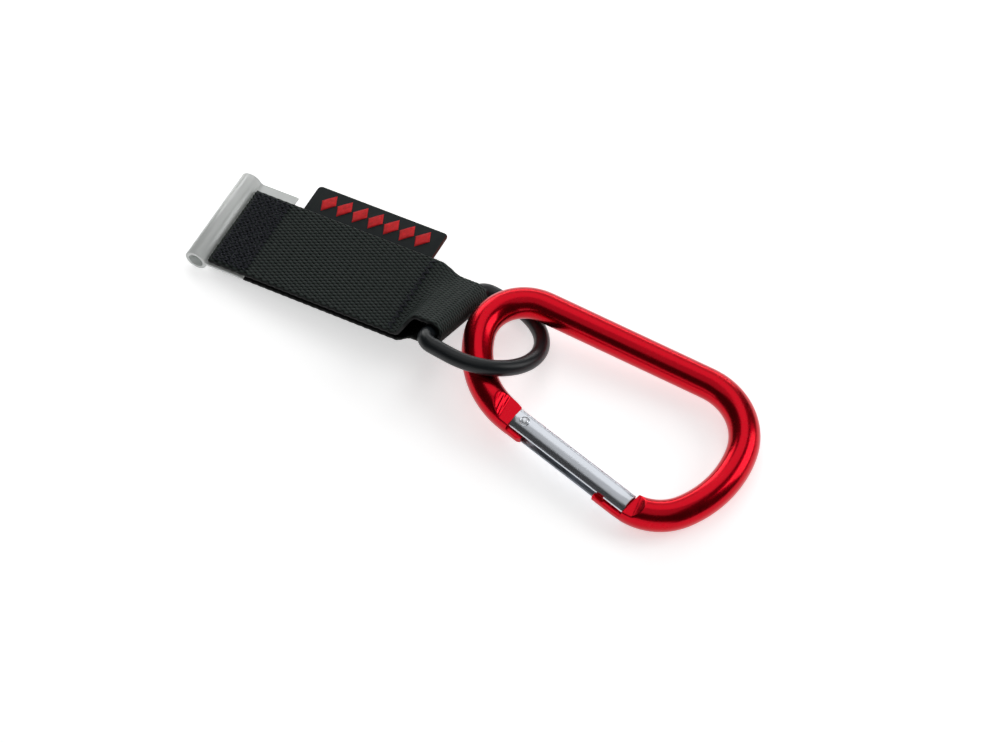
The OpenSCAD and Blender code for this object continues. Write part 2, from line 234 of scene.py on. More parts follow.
def skin(name, grids, material, uv=None, crown=None, sharp=40):
    """A closed mesh from grids of points. Each grid is rows of closed loops, (points, rows closed):
    the loops are joined row to row, and open ends get a flat face. A grid whose signed volume,
    the sum of its faces' corner triple products, is below zero has its faces turned round.
    uv is one array of two numbers a point for each grid, and crown one of one number a point."""
    points, quads, caps, start = [], [], [], 0
    for grid, closed in grids:
        n, m = grid.shape[:2]
        index = np.arange(n * m).reshape(n, m) + start
        a = index if closed else index[:-1]
        b = np.roll(index, -1, 0) if closed else index[1:]
        face = np.stack([a, np.roll(a, -1, 1), np.roll(b, -1, 1), b], -1).reshape(-1, 4)
        ends = [] if closed else [index[0][::-1], index[-1]]
        p = grid.reshape(-1, 3)
        q = p[face - start]
        volume = np.einsum("ij,ij->i", q[:, 0], np.cross(q[:, 1], q[:, 2])).sum()
        volume += np.einsum("ij,ij->i", q[:, 0], np.cross(q[:, 2], q[:, 3])).sum()
        for end in ends:
            e = p[end - start]
            volume += np.einsum("ij,ij->i", np.broadcast_to(e[0], e[1:-1].shape),
                                np.cross(e[1:-1], e[2:])).sum()
        if volume < 0:
            face, ends = face[:, ::-1], [end[::-1] for end in ends]
        points.append(p)
        quads.append(face)
        caps += ends
        start += n * m
    points, quads = np.concatenate(points), np.concatenate(quads)
    corners = np.concatenate([quads.ravel(), *caps]).astype(np.int32)
    sizes = np.array([4] * len(quads) + [len(c) for c in caps])
    mesh = bpy.data.meshes.new(name)
    mesh.vertices.add(len(points))
    mesh.vertices.foreach_set("co", (points * 0.001).astype(np.float32).ravel())
    mesh.loops.add(len(corners))
    mesh.loops.foreach_set("vertex_index", corners)
    mesh.polygons.add(len(sizes))
    mesh.polygons.foreach_set("loop_start", (np.cumsum(sizes) - sizes).astype(np.int32))
    mesh.polygons.foreach_set("loop_total", sizes.astype(np.int32))
    mesh.update(calc_edges=True)
    if uv is not None:
        flat = np.concatenate([u.reshape(-1, 2) for u in uv])
        layer = mesh.uv_layers.new(name="UVMap")
        layer.data.foreach_set("uv", flat[corners].astype(np.float32).ravel())
    if crown is not None:
        flat = np.concatenate([c.ravel() for c in crown])
        layer = mesh.attributes.new("crown", "FLOAT", "POINT")
        layer.data.foreach_set("value", flat.astype(np.float32))
    mesh.polygons.foreach_set("use_smooth", np.ones(len(sizes), bool))
    mesh.set_sharp_from_angle(angle=math.radians(sharp))
    mesh.validate()
    piece = bpy.data.objects.new(name, mesh)
    bpy.context.scene.collection.objects.link(piece)
    mesh.materials.append(material)
    return piece


def route(start, heading, parts, step, soft, closed=False):
    """Points and headings along a flat path of straights and bends. Each part is (length, turn in
    degrees). The heading is the turn so far, which grows evenly over each bend, averaged over the
    length soft so that the bends run into each other, and the points are its running sum."""
    ends = np.concatenate([[0], np.cumsum([p[0] for p in parts])])
    turns = np.radians(np.concatenate([[0], np.cumsum([p[1] for p in parts])]))
    count = int(round(ends[-1] / step))
    s = np.linspace(0, ends[-1], 2 * count + 1)[:, None] + np.linspace(-soft / 2, soft / 2, 31)
    h = math.radians(heading) + np.interp(s, ends, turns).mean(1)
    run = ends[-1] / count
    x = start[0] + np.concatenate([[0], np.cumsum(np.cos(h[1::2])) * run])
    y = start[1] + np.concatenate([[0], np.cumsum(np.sin(h[1::2])) * run])
    path, h = np.stack([x, y], -1), h[::2]
    return (path[:-1], h[:-1]) if closed else (path, h)


def angles(count):
    """Even angles round a full turn, from 0."""
    return 2 * np.pi * np.arange(count) / count


def circle(r, count):
    """A closed loop of count points on a circle of radius r."""
    t = angles(count)
    return np.stack([r * np.cos(t), r * np.sin(t)], -1)


def inset(loop, depth):
    """A closed loop moved inwards by depth, along the normal of the chord of its two neighbours."""
    way = np.roll(loop, -1, 0) - np.roll(loop, 1, 0)
    way /= np.maximum(np.linalg.norm(way, axis=1, keepdims=True), 1e-9)
    area = np.sum(loop[:, 0] * np.roll(loop[:, 1], -1) - loop[:, 1] * np.roll(loop[:, 0], -1))
    return loop - np.sign(area) * depth * np.stack([way[:, 1], -way[:, 0]], -1)


def bar(loop, x0, x1, edge, rows=2, near=True, far=True):
    """A loop carried along X from x0 to x1, its two ends rounded by edge. Row by row the loop is
    inset by edge times one less the sine, and set back by edge times one less the cosine. near and
    far say which of the ends is rounded."""
    a = np.radians([0, 30, 60, 90])
    ends = [(edge * (1 - math.cos(v)), edge * (1 - math.sin(v))) for v in a]
    first = [(x0 + back, d) for back, d in ends] if near else [(x0, 0.0)]
    last = [(x1 - back, d) for back, d in ends[::-1]] if far else [(x1, 0.0)]
    middle = [(x, 0.0) for x in np.linspace(x0 + edge, x1 - edge, rows + 2)[1:-1]]
    out = []
    for x, d in first + middle + last:
        l = inset(loop, d)
        out.append(np.concatenate([np.full((len(l), 1), x), l], 1))
    return np.stack(out)


def smaller(a, b, soft):
    """The smaller of two numbers, with the corner between them rounded over soft."""
    return 0.5 * (a + b - np.sqrt((a - b) ** 2 + soft**2))


def ease(t):
    """Goes from 0 to 1 as t does, level at both ends: three t squared less two t cubed."""
    t = np.clip(t, 0, 1)
    return t * t * (3 - 2 * t)


def tube(path, r, count=8, squash=1.0):
    """A round tube of radius r along a path in space.
    Its axes at each point are the path's way and two perpendiculars carried from straight up."""
    way = np.gradient(path, axis=0)
    way /= np.linalg.norm(way, axis=1, keepdims=True)
    up = np.tile([0.0, 0.0, 1.0], (len(path), 1))
    side = np.cross(up, way)
    side /= np.maximum(np.linalg.norm(side, axis=1, keepdims=True), 1e-6)
    up = np.cross(way, side)
    t = angles(count)
    size = np.broadcast_to(r, len(path))[:, None, None]
    return (path[:, None] + size * np.cos(t)[:, None] * side[:, None]
            + squash * size * np.sin(t)[:, None] * up[:, None])


# Finishes ------------------------------------------------------------------------------------


def add(tree, kind, settings=(), links=()):
    """Adds a node. settings are (name or socket, value) and links are (socket, output)."""
    node = tree.nodes.new("ShaderNode" + kind)
    for key, value in dict(settings).items():
        if isinstance(key, str) and hasattr(node, key):
            setattr(node, key, value)
        else:
            node.inputs[key].default_value = value
    for key, source in dict(links).items():
        tree.links.new(source, node.inputs[key])
    return node


def finish(name, base, settings):
    """A new material with a Principled shader, and its node tree, shader and coordinates."""
    material = bpy.data.materials.new(name)
    material.use_nodes = True
    tree = material.node_tree
    shader = tree.nodes["Principled BSDF"]
    shader.inputs["Base Color"].default_value = (*base, 1)
    for key, value in settings.items():
        shader.inputs[key].default_value = value
    return material, tree, shader, add(tree, "TexCoord")


def mix(tree, factor, a, b):
    """Colour that goes from a to b with factor."""
    node = add(tree, "Mix", {"data_type": "RGBA"}, {0: factor})
    for key, value in ((6, a), (7, b)):
        if isinstance(value, tuple):
            node.inputs[key].default_value = (*value, 1)
        else:
            tree.links.new(value, node.inputs[key])
    return node.outputs[2]


def relief(tree, shader, height, strength, distance):
    """Feeds a height into the shader's normal."""
    bump = add(tree, "Bump", {"Strength": strength, "Distance": distance}, {"Height": height})
    tree.links.new(bump.outputs[0], shader.inputs["Normal"])


def object_noise(tree, at, scale, detail, space="Object"):
    """A noise texture on the piece's own coordinates, or on its UV map."""
    return add(tree, "TexNoise", {"Scale": scale, "Detail": detail}, {"Vector": at.outputs[space]})


def dim(rgb, factor):
    """A colour times a factor."""
    return tuple(v * factor for v in rgb)


def clear_vinyl(c):
    """Flexible PVC, extruded: clear with a little milk, glossy, with faint draw lines along it."""
    material, tree, shader, at = finish("clear_vinyl_extruded", c.vinyl, {
        "Roughness": 0.16, "IOR": 1.53, "Transmission Weight": 0.25})
    lines = add(tree, "Mapping", {"Scale": (2200, 60, 2200)}, {"Vector": at.outputs["Object"]})
    noise = add(tree, "TexNoise", {"Scale": 1.0, "Detail": 2.0}, {"Vector": lines.outputs[0]})
    relief(tree, shader, noise.outputs[0], 0.25, 0.00004)
    cloud = object_noise(tree, at, 260.0, 3.0)
    tint = mix(tree, cloud.outputs[0], dim(c.vinyl, 0.9), tuple(c.vinyl))
    tree.links.new(tint, shader.inputs["Base Color"])
    return material


def webbing_yarn(c):
    """Heavy polypropylene webbing, plain woven from black multifilament yarn: matt, with fine
    filaments, a painted highlight on the crown of each bead and painted shade in the gaps between them."""
    material, tree, shader, at = finish("webbing_polypropylene_woven", c.yarn, {
        "Roughness": 0.5, "Specular IOR Level": 0.16})
    crown = add(tree, "Attribute", {"attribute_name": "crown"})
    patch = object_noise(tree, at, 1.6, 3.0, "UV")
    # filaments lie 0.11 mm apart, coarser than real ones so that they show
    lines = add(tree, "TexWave", {"wave_type": "BANDS", "bands_direction": "Y", "Scale": 2.9,
                                  "Distortion": 2.5, "Detail": 2.0, "Detail Scale": 1.2},
                {"Vector": at.outputs["UV"]})
    # painted shade and painted highlight: the bead height in the crown attribute mixes the colour from near
    # black in the gaps to the lighter yarn tone on the crowns
    high = add(tree, "MapRange", {1: 0.5, 2: 0.98, 3: 0.0, 4: 1.0, "interpolation_type": "SMOOTHSTEP"},
               {0: crown.outputs["Fac"]})
    tone = mix(tree, patch.outputs[0], dim(c.yarn, 0.75), dim(c.yarn, 1.3))
    tree.links.new(mix(tree, high.outputs[0], tuple(c.yarn_gap_painted_shade), tone), shader.inputs["Base Color"])
    rough = add(tree, "MapRange", {3: 0.36, 4: 0.62}, {0: lines.outputs["Fac"]})
    tree.links.new(rough.outputs[0], shader.inputs["Roughness"])
    relief(tree, shader, lines.outputs["Fac"], 0.5, 0.00005)
    return material


def sewing_thread(name, rgb, turns):
    """Bonded polyester thread, three plies twisted: a soft shine with a fine slanted ply line."""
    material, tree, shader, at = finish(name, rgb, {"Roughness": 0.5, "Specular IOR Level": 0.3})
    ply = add(tree, "TexWave", {"bands_direction": "DIAGONAL", "Scale": turns, "Distortion": 0.6},
              {"Vector": at.outputs["UV"]})
    noise = object_noise(tree, at, 900.0, 2.0)
    tree.links.new(mix(tree, noise.outputs[0], dim(rgb, 0.6), dim(rgb, 1.35)),
                   shader.inputs["Base Color"])
    relief(tree, shader, ply.outputs["Fac"], 0.6, 0.00006)
    return material


def label_cloth(c, end):
    """Damask woven polyester, folded: flat and matt, with picks 0.22 mm apart and a cut edge
    where the coloured weft shows."""
    material, tree, shader, at = finish("label_polyester_damask", c.label, {
        "Roughness": 0.68, "Specular IOR Level": 0.2})
    picks = add(tree, "TexWave", {"bands_direction": "Y", "Scale": 1.45, "Distortion": 0.4},
                {"Vector": at.outputs["UV"]})
    ends = add(tree, "TexWave", {"bands_direction": "X", "Scale": 1.05, "Distortion": 0.4},
               {"Vector": at.outputs["UV"]})
    height = add(tree, "Math", {"operation": "MULTIPLY"},
                 {0: picks.outputs["Fac"], 1: ends.outputs["Fac"]})
    patch = object_noise(tree, at, 0.8, 4.0, "UV")
    cloth = mix(tree, patch.outputs[0], dim(c.label, 0.8), dim(c.label, 1.2))
    along = add(tree, "SeparateXYZ", (), {0: at.outputs["UV"]})
    edge = add(tree, "MapRange", {1: end - 0.45, 2: end - 0.3, 3: 0.0, 4: 1.0}, {0: along.outputs[0]})
    tree.links.new(mix(tree, edge.outputs[0], cloth, tuple(c.label_edge)), shader.inputs["Base Color"])
    relief(tree, shader, height.outputs[0], 0.45, 0.00006)
    return material


def ring_acetal(c):
    """Acetal, injection moulded in a lightly blasted tool: a deep black with a broad soft shine."""
    material, tree, shader, at = finish("ring_acetal_moulded", c.acetal, {
        "Roughness": 0.34, "Specular IOR Level": 0.35})
    grain = object_noise(tree, at, 4200.0, 2.0)
    flow = object_noise(tree, at, 120.0, 3.0)
    relief(tree, shader, grain.outputs[0], 0.3, 0.00003)
    rough = add(tree, "MapRange", {3: 0.28, 4: 0.42}, {0: flow.outputs[0]})
    tree.links.new(rough.outputs[0], shader.inputs["Roughness"])
    tree.links.new(mix(tree, flow.outputs[0], dim(c.acetal, 0.85), dim(c.acetal, 1.15)),
                   shader.inputs["Base Color"])
    return material


def anodised_aluminium(c):
    """Drawn aluminium rod, polished, anodised and dyed: a metal colour under a hard clear film,
    with faint orange peel and fine handling marks."""
    material, tree, shader, at = finish("carabiner_aluminium_anodised", c.anodised, {
        "Metallic": 1.0, "Roughness": 0.2, "Coat Weight": 0.12, "Coat Roughness": 0.08})
    peel = add(tree, "TexNoise", {"Scale": 700.0, "Detail": 3.0, "Roughness": 0.55},
               {"Vector": at.outputs["Object"]})
    marks = add(tree, "TexNoise", {"Scale": 160.0, "Detail": 6.0, "Roughness": 0.7},
                {"Vector": at.outputs["Object"]})
    relief(tree, shader, peel.outputs[0], 0.18, 0.00006)
    rough = add(tree, "MapRange", {1: 0.3, 2: 0.7, 3: 0.2, 4: 0.3}, {0: marks.outputs[0]})
    tree.links.new(rough.outputs[0], shader.inputs["Roughness"])
    tree.links.new(mix(tree, marks.outputs[0], dim(c.anodised, 0.88), dim(c.anodised, 1.1)),
                   shader.inputs["Base Color"])
    return material


def bright_metal(name, rgb, roughness, drawn, marks=0.3):
    """Steel, stamped or headed and bright zinc plated: a clean shine broken by tool drag and small
    pits, and duller where the crown attribute is 1, inside the gate. drawn is the stretch of its
    marks along X, and marks is how deep they are."""
    material, tree, shader, at = finish(name, rgb, {"Metallic": 1.0, "Roughness": roughness})
    stretch = add(tree, "Mapping", {"Scale": (1 / drawn, 1, 1), "Rotation": (0, 0, math.radians(14))},
                  {"Vector": at.outputs["Object"]})
    drag = add(tree, "TexNoise", {"Scale": 1500.0, "Detail": 4.0, "Roughness": 0.65},
               {"Vector": stretch.outputs[0]})
    pits = add(tree, "TexVoronoi", {"Scale": 1100.0}, {"Vector": at.outputs["Object"]})
    pit = add(tree, "MapRange", {1: 0.0, 2: 0.22, 3: 0.0, 4: 1.0}, {0: pits.outputs["Distance"]})
    height = add(tree, "Math", {"operation": "MULTIPLY_ADD", 1: 0.5},
                 {0: drag.outputs[0], 2: pit.outputs[0]})
    relief(tree, shader, height.outputs[0], marks, 0.00004)
    rough = add(tree, "MapRange", {1: 0.3, 2: 0.7, 3: roughness * 0.75, 4: roughness * 1.35},
                {0: drag.outputs[0]})
    inside = add(tree, "Attribute", {"attribute_name": "crown"})
    dull = add(tree, "Math", {"operation": "MULTIPLY_ADD", 1: 0.35},
               {0: inside.outputs["Fac"], 2: rough.outputs[0]})
    tree.links.new(dull.outputs[0], shader.inputs["Roughness"])
    tree.links.new(mix(tree, drag.outputs[0], dim(rgb, 0.86), rgb), shader.inputs["Base Color"])
    return material


# Pieces --------------------------------------------------------------------------------------


def sleeve_grid(p):
    """The tube and its flap as rows of loops round the bore. The outline is the tube's circle, two
    small fillets, the flap's two faces and its rounded tip, and is seen whole from the axis, so
    each point of the bore lies on the ray to its point of the outline."""
    r, half, fillet, end = p.sleeve_d / 2, p.flap_t / 2, 0.9, p.cut_x + p.flap_grip
    fx = math.sqrt((r + fillet) ** 2 - (half + fillet) ** 2)
    touch = math.atan2(half + fillet, fx)
    a = np.linspace(touch, math.pi, 40)
    round_part = np.stack([r * np.cos(a), r * np.sin(a)], -1)
    b = np.linspace(-np.pi / 2, touch - np.pi, 9)
    cove = np.stack([fx + fillet * np.cos(b), half + fillet + fillet * np.sin(b)], -1)
    face = np.stack([np.linspace(end - half, fx, 24), np.full(24, half)], -1)
    c = np.linspace(0, np.pi / 2, 6)[:-1]
    tip = np.stack([end - half + half * np.cos(c), half * np.sin(c)], -1)
    top = np.concatenate([tip, face, cove[1:], round_part[1:]])
    outline = np.concatenate([top, top[1:-1][::-1] * [1, -1]])
    ray = np.arctan2(outline[:, 1], outline[:, 0])
    bore = (r - p.sleeve_wall) * np.stack([np.cos(ray), np.sin(ray)], -1)
    y, edge = p.sleeve_len / 2, 0.12
    rows = [(outline, d, v) for v, d in ((-y, edge), (-y + 0.3 * edge, 0.3 * edge), (-y + edge, 0),
                                         (0, 0), (y - edge, 0), (y - 0.3 * edge, 0.3 * edge), (y, edge))]
    rows += [(bore, -d, v) for v, d in ((y, edge), (y - 0.3 * edge, 0.3 * edge), (y - edge, 0), (0, 0),
                                        (-y + edge, 0), (-y + 0.3 * edge, 0.3 * edge), (-y, edge))]
    out = []
    for loop, d, v in rows:
        l = inset(loop, d)
        out.append(np.stack([l[:, 0], np.full(len(l), v), l[:, 1]], -1))
    return np.stack(out)


def strap_path(p, step):
    """The middle of the webbing's thickness from one cut end round the ring's bar to the other, as
    arrays of x, height above the strap's middle plane, turn about X in radians, and length. It is
    straight, then rises over the neck with an even start and end while it turns by the ring's roll,
    runs straight to the bar, and goes round it in a half circle; the second half mirrors the first."""
    low, high = (p.insert_t + p.web_t) / 2, p.fold_r + p.web_t / 2
    t = np.linspace(0, 1, 400)
    rise = ease(t)
    a = np.linspace(0, np.pi / 2, 100)
    x = np.concatenate([[p.cut_x], p.tack_x + (p.neck_x - p.tack_x) * t, p.bar_x + high * np.sin(a)])
    z = np.concatenate([[low], low + (high - low) * rise, high * np.cos(a)])
    turn = np.concatenate([[0], -math.radians(p.roll) * rise, np.full(100, -math.radians(p.roll))])
    x, z, turn = (np.concatenate([x, x[-2::-1]]), np.concatenate([z, -z[-2::-1]]),
                  np.concatenate([turn, turn[-2::-1]]))
    s = np.concatenate([[0], np.cumsum(np.hypot(np.diff(x), np.diff(z)))])
    count = int(round(s[-1] / step))
    even = np.linspace(0, s[-1], count + 1)
    return np.interp(even, s, x), np.interp(even, s, z), np.interp(even, s, turn), even


def weave(u, v, p):
    """Height from 0 to 1 of the webbing's face: the higher of two grids of long round beads, each
    the square root of one less the squares of its distances from the bead's centre, the second
    grid set half a bead across and one rib along from the first."""
    def beads(u0, v0):
        du = (u - u0) / (2 * p.rib_pitch)
        dv = (v - v0) / p.bead_pitch
        du = (du - np.round(du)) * 2 * p.rib_pitch / 0.92
        dv = (dv - np.round(dv)) * p.bead_pitch / 0.53
        return np.sqrt(np.clip(1 - du**2 - dv**2, 0, 1))
    return np.maximum(beads(0, 0), beads(p.rib_pitch, p.bead_pitch / 2))


def strap_grid(p):
    """The webbing as rows of loops across its section: a woven face, a round edge, a plainer inner
    face and a round edge. Each point is the path's point plus its offset along the path's normal,
    turned about X by the path's turn."""
    x, z, turn, s = strap_path(p, p.rib_pitch / 5)
    half, edge, t = p.strap_w / 2, 0.55, p.web_t / 2
    count = int(round((p.strap_w - 2 * edge) / p.bead_pitch * 5))
    face = np.linspace(-half + edge, half - edge, count)
    back = np.linspace(half - edge, -half + edge, 26)
    a = np.linspace(np.pi / 2, -np.pi / 2, 8)[1:-1]
    v = np.concatenate([face, half - edge + edge * np.cos(a), back, -half + edge - edge * np.cos(a)])
    n = np.concatenate([np.full(len(face), t), t * np.sin(a), np.full(len(back), -t), -t * np.sin(a)])
    outer = np.clip(n / t, 0, 1)
    # the inner face and the inner half of each edge get a height of 0.35, which only sets their colour: they
    # take the gaps' painted shade
    height = weave(s[:, None], v[None, :], p) * outer + 0.35 * (1 - outer)
    dx, dz = np.gradient(x, s), np.gradient(z, s)
    size = np.hypot(dx, dz)
    nx, nz = -dz / size, dx / size
    off = n[None, :] + outer * (0.55 * (height - 1) + 0.1)
    wobble = 0.07 * np.sin(2 * np.pi * s[:, None] / (2 * p.rib_pitch))
    wobble = wobble * (1 - outer) * np.sign(v)[None, :]
    y = v[None, :] + wobble * (np.abs(v)[None, :] > half - edge)
    up = z[:, None] + nz[:, None] * off
    c, w = np.cos(turn)[:, None], np.sin(turn)[:, None]
    points = np.stack([x[:, None] + nx[:, None] * off, y * c - up * w, y * w + up * c], -1)
    uv = np.stack(np.broadcast_arrays(s[:, None], v[None, :]), -1)
    return points, uv, height, s[-1]


def fray_tufts(p, rng):
    """Cut yarn ends as short bent hairs at both cut edges: each goes out from the edge by a random
    length, on a straight line with a random sideways pull that grows with its square."""
    count = 46
    out = []
    for side in (-1, 1):
        y = np.linspace(-p.strap_w / 2 + 0.6, p.strap_w / 2 - 0.6, count) + rng.normal(0, 0.12, count)
        reach, pull = rng.uniform(0.15, 0.5, count), rng.normal(0, 0.22, count)
        lift = rng.normal(0, 0.15, count)
        for k in range(count):
            t = np.linspace(0, 1, 5)
            z = side * ((p.insert_t + p.web_t) / 2 + rng.uniform(-0.35, 0.45) + lift[k] * t)
            path = np.stack([p.cut_x + 0.15 - (reach[k] + 0.15) * t, y[k] + pull[k] * t**2, z], -1)
            out.append(tube(path, np.linspace(0.12, 0.05, 5), 6))
    return out


def zigzag(p, x, reach, period, side):
    """One row of zigzag stitch across the strap: x swings to both sides of the row by reach as a
    triangle wave of the distance across, and the thread dips into the webbing at each turn."""
    y = np.arange(-p.strap_w / 2 + 0.9, p.strap_w / 2 - 0.9, period / 12)
    phase = (y / period) % 1
    swing = 4 * np.abs(phase - 0.5) - 1
    z = p.half_t + 0.2 - 0.42 * np.clip(np.abs(swing) - 0.62, 0, 1) / 0.38
    path = np.stack([x + reach * swing, y, side * z], -1)
    return tube(path, p.thread_d / 2, 8, 0.85)


def thread_uv(grid):
    """Length along a tube in millimetres and part of the way round it, for its own grid."""
    s = np.concatenate([[0], np.cumsum(np.linalg.norm(np.diff(grid[:, 0], axis=0), axis=1))])
    a = np.arange(grid.shape[1]) / grid.shape[1] * 1.4
    return np.stack(np.broadcast_arrays(s[:, None], a[None, :]), -1)


def label_grid(p):
    """The label as stacked outlines of a rectangle with round corners: the outline is inset by its
    edge's radius times one less the sine, at the height of its cosine."""
    w, h, r, edge = p.label_len, 5 + p.label_show, 1.2, 0.36
    a = np.linspace(0, np.pi / 2, 9)
    quarter = np.stack([np.cos(a), np.sin(a)], -1)
    centres = [(w - r, h - r), (r, h - r), (r, r), (w - r, r)]
    turned = [quarter, np.stack([-quarter[:, 1], quarter[:, 0]], -1), -quarter,
              np.stack([quarter[:, 1], -quarter[:, 0]], -1)]
    loop = np.concatenate([np.array(c) + r * q for c, q in zip(centres, turned)])
    long = []
    for i in range(len(loop)):
        a0, a1 = loop[i], loop[(i + 1) % len(loop)]
        k = max(1, int(np.linalg.norm(a1 - a0) / 1.2))
        long.append(a0 + (a1 - a0) * np.arange(k)[:, None] / k)
    loop = np.concatenate(long)
    b = np.radians(np.linspace(-90, 90, 9))
    rows = []
    for v in b:
        l = inset(loop, edge * (1 - math.cos(v)))
        z = (p.label_t / 2 - edge) * np.sign(v) + edge * math.sin(v)
        rows.append(np.concatenate([l, np.full((len(l), 1), z)], 1))
    grid = np.stack(rows)
    return grid + [p.label_x, p.strap_w / 2 - 5, 0], grid[..., :2]


def diamond_grids(p):
    """Satin-stitched diamonds. A diamond is a row of upright threads: at each distance along it the
    threads reach as high as the diamond there, their tops arch as the fourth root of one less the
    square of the part of the way up, and each thread is a half round rib 0.3 mm wide."""
    pitch = (p.label_len - 6) / p.diamonds
    grids, uvs = [], []
    for i in range(p.diamonds):
        half_w, half_h = 0.44 * pitch, 0.33 * p.label_show
        u = np.linspace(-1, 1, 61)
        v = np.linspace(-1, 1, 15)
        reach = np.maximum((1 - np.abs(u)) * half_h, 0.05)
        lean = 0.28 * (v[None, :] * reach[:, None])
        x = u[:, None] * half_w + lean
        y = v[None, :] * reach[:, None]
        rib = np.abs(np.sin(np.pi * u * half_w / 0.3))
        arch = np.clip(1 - v**2, 0, 1) ** 0.25
        crest = 0.1 + 0.22 * np.minimum(1, 2 * (1 - np.abs(u)))[:, None] + 0.07 * rib[:, None]
        z = crest * arch[None, :]
        top = np.stack([x, y, z], -1)
        base = top[:, 1:-1][:, ::-1] * [1, 1, 0]
        g = np.concatenate([top, base], 1)
        g += [p.label_x + 3 + pitch * (i + 0.5), p.strap_w / 2 + p.label_show / 2 + 0.2,
              p.label_t / 2 + 0.01]
        grids.append(g)
        uvs.append(g[..., :2])
    return grids, uvs


def ring_grid(p):
    """The ring's round section carried round a closed path: bar, corner, arm, half circle, arm and
    corner. The section's radius has a hair of flash, a narrow bell curve of the angle, in the plane
    where the mould parts."""
    bar_half, quarter = p.ring_half - p.corner_r, p.corner_r * np.pi / 2
    parts = [(bar_half, 0), (quarter, -90), (p.arm, 0), (np.pi * p.ring_half, -180), (p.arm, 0),
             (quarter, -90), (bar_half, 0)]
    path, h = route((0, 0), 90, parts, 0.3, 1.5, closed=True)
    t = angles(56)
    flash = sum(np.exp(-(((t - c + np.pi) % (2 * np.pi) - np.pi) / 0.07) ** 2) for c in (0, np.pi))
    r = p.ring_d / 2 + 0.03 * flash
    side = np.stack([-np.sin(h), np.cos(h)], -1)
    flat = path[:, None] + side[:, None] * (r * np.cos(t))[None, :, None]
    up = np.broadcast_to(r * np.sin(t), flat.shape[:2])
    return np.concatenate([flat, up[..., None]], -1)


def gate_top(q, p):
    """Height of the gate's crowned outside over its width: level near the back and then falling to
    its open edge on a large arc."""
    crown, r = p.gate_h / 2 + 0.28, 4.1
    return crown - (r - np.sqrt(r**2 - np.clip(0.45 - q, 0, 3.5) ** 2))


def rod_grid(p):
    """The carabiner as rings of points along its bent path, from the tang to the nose. Near its
    ends each point is then held under the milled faces, which are functions of the distance along
    the gate and across it: two flats, a ramp with chatter ripples behind the hinge, a slope that
    grows with the distance at the nose, the tang's inner face, and the tongue with its lip."""
    parts = [(p.rivet_back + p.tang_end, 0)]
    parts += [(r * math.radians(a), -a) for r, a in p.narrow[::-1]]
    parts += [(p.spine_len, 0)] + [(r * math.radians(a), -a) for r, a in p.wide]
    parts += [(p.gate_span - p.lip_x, 0)]
    c, n = math.cos(math.radians(p.gate_angle)), math.sin(math.radians(p.gate_angle))
    start = (p.rivet_at[0] + p.tang_end * c, p.rivet_at[1] + p.tang_end * n)
    path, h = route(start, 180 + p.gate_angle, parts, 0.11, 3.0)
    k = np.arange(len(path))
    keep = (k < 190) | (k > len(path) - 190) | (k % 4 == 0)
    path, h = path[keep], h[keep]
    count = 132
    t = 2 * np.pi * (np.arange(count) + 0.5) / count
    r = p.rod_d / 2
    side = np.stack([-np.sin(h), np.cos(h)], -1)
    flat = path[:, None] + side[:, None] * (r * np.cos(t))[None, :, None]
    z = np.broadcast_to(r * np.sin(t), flat.shape[:2]).copy()
    gx = (flat[..., 0] - p.rivet_at[0]) * c + (flat[..., 1] - p.rivet_at[1]) * n
    q = -(flat[..., 0] - p.rivet_at[0]) * n + (flat[..., 1] - p.rivet_at[1]) * c
    near = q < 8
    hinge, nose = near & (gx < 12), near & (gx > 20)
    free, f = 99.0, p.tang_t / 2

    # the flats and what they run into
    back = -6.4 - 0.23 * q - gx
    fade = np.clip(2 * back, 0, 1) * np.exp(-((np.maximum(back - 1.2, 0) / 1.5) ** 2))
    ripple = (np.sin(2 * np.pi * (back + 0.035 * q**2) / 1.15)
              + 0.6 * np.sin(2 * np.pi * (back - 0.12 * q) / 0.71 + 1))
    ramp = f + 0.44 * back + 0.02 * ripple * fade
    limit = np.where(hinge, np.where(back > 0, ramp, f), free)
    out = np.maximum(gx - (p.gate_end + 1.9 - 0.31 * q), 0)
    limit = np.where(nose, f + 0.36 * out + 0.16 * out**2, limit)
    tip = np.clip((p.lip_x + 1.2 - gx) / 1.2, 0, 1)
    limit = np.where(nose, limit * np.sqrt(1 - 0.75 * tip**2), limit)
    under = (gx > -p.gate_tail - 0.1) & (gx < p.gate_end + 0.1) & (q < 0.4)
    room = gate_top(np.maximum(q, -2.9), p) - p.sheet_t - 0.12
    limit = np.where(near & under, np.minimum(limit, room), limit)
    z = np.sign(z) * np.where(limit > 50, np.abs(z), smaller(np.abs(z), limit, 0.12))

    # the inner face of the tang, its chamfered lip, and the tongue with its lip
    half_w = p.gate_w / 2
    tang_q, tongue_q = half_w - p.sheet_t - 0.25, half_w - p.sheet_t - 0.75
    inner = np.interp(gx, [TANG_BACK, -p.gate_tail - 0.4, -p.gate_tail - 0.25, 9],
                      [r + 0.2, half_w + 0.1, tang_q, tang_q])
    tongue = np.interp(gx, [p.lip_x + 2.5, p.lip_x + 4, p.gate_end + 0.3, p.gate_end + 0.42],
                       [-half_w - 0.3, tongue_q, tongue_q, 12])
    top = np.where(hinge & (gx > TANG_BACK), inner,
                   np.where(nose & (gx < p.gate_end + 0.42), tongue, free))
    low = np.where(hinge & (gx > p.tang_end - 1), -r + (gx - p.tang_end + 1) * 0.62, -free)
    q2 = np.where(top > 50, q, smaller(q, top, 0.08))
    q2 = np.where(low < -50, q2, -smaller(-q2, -low, 0.08))
    flat = np.stack([p.rivet_at[0] + gx * c - q2 * n, p.rivet_at[1] + gx * n + q2 * c], -1)
    return np.concatenate([flat, z[..., None]], -1)


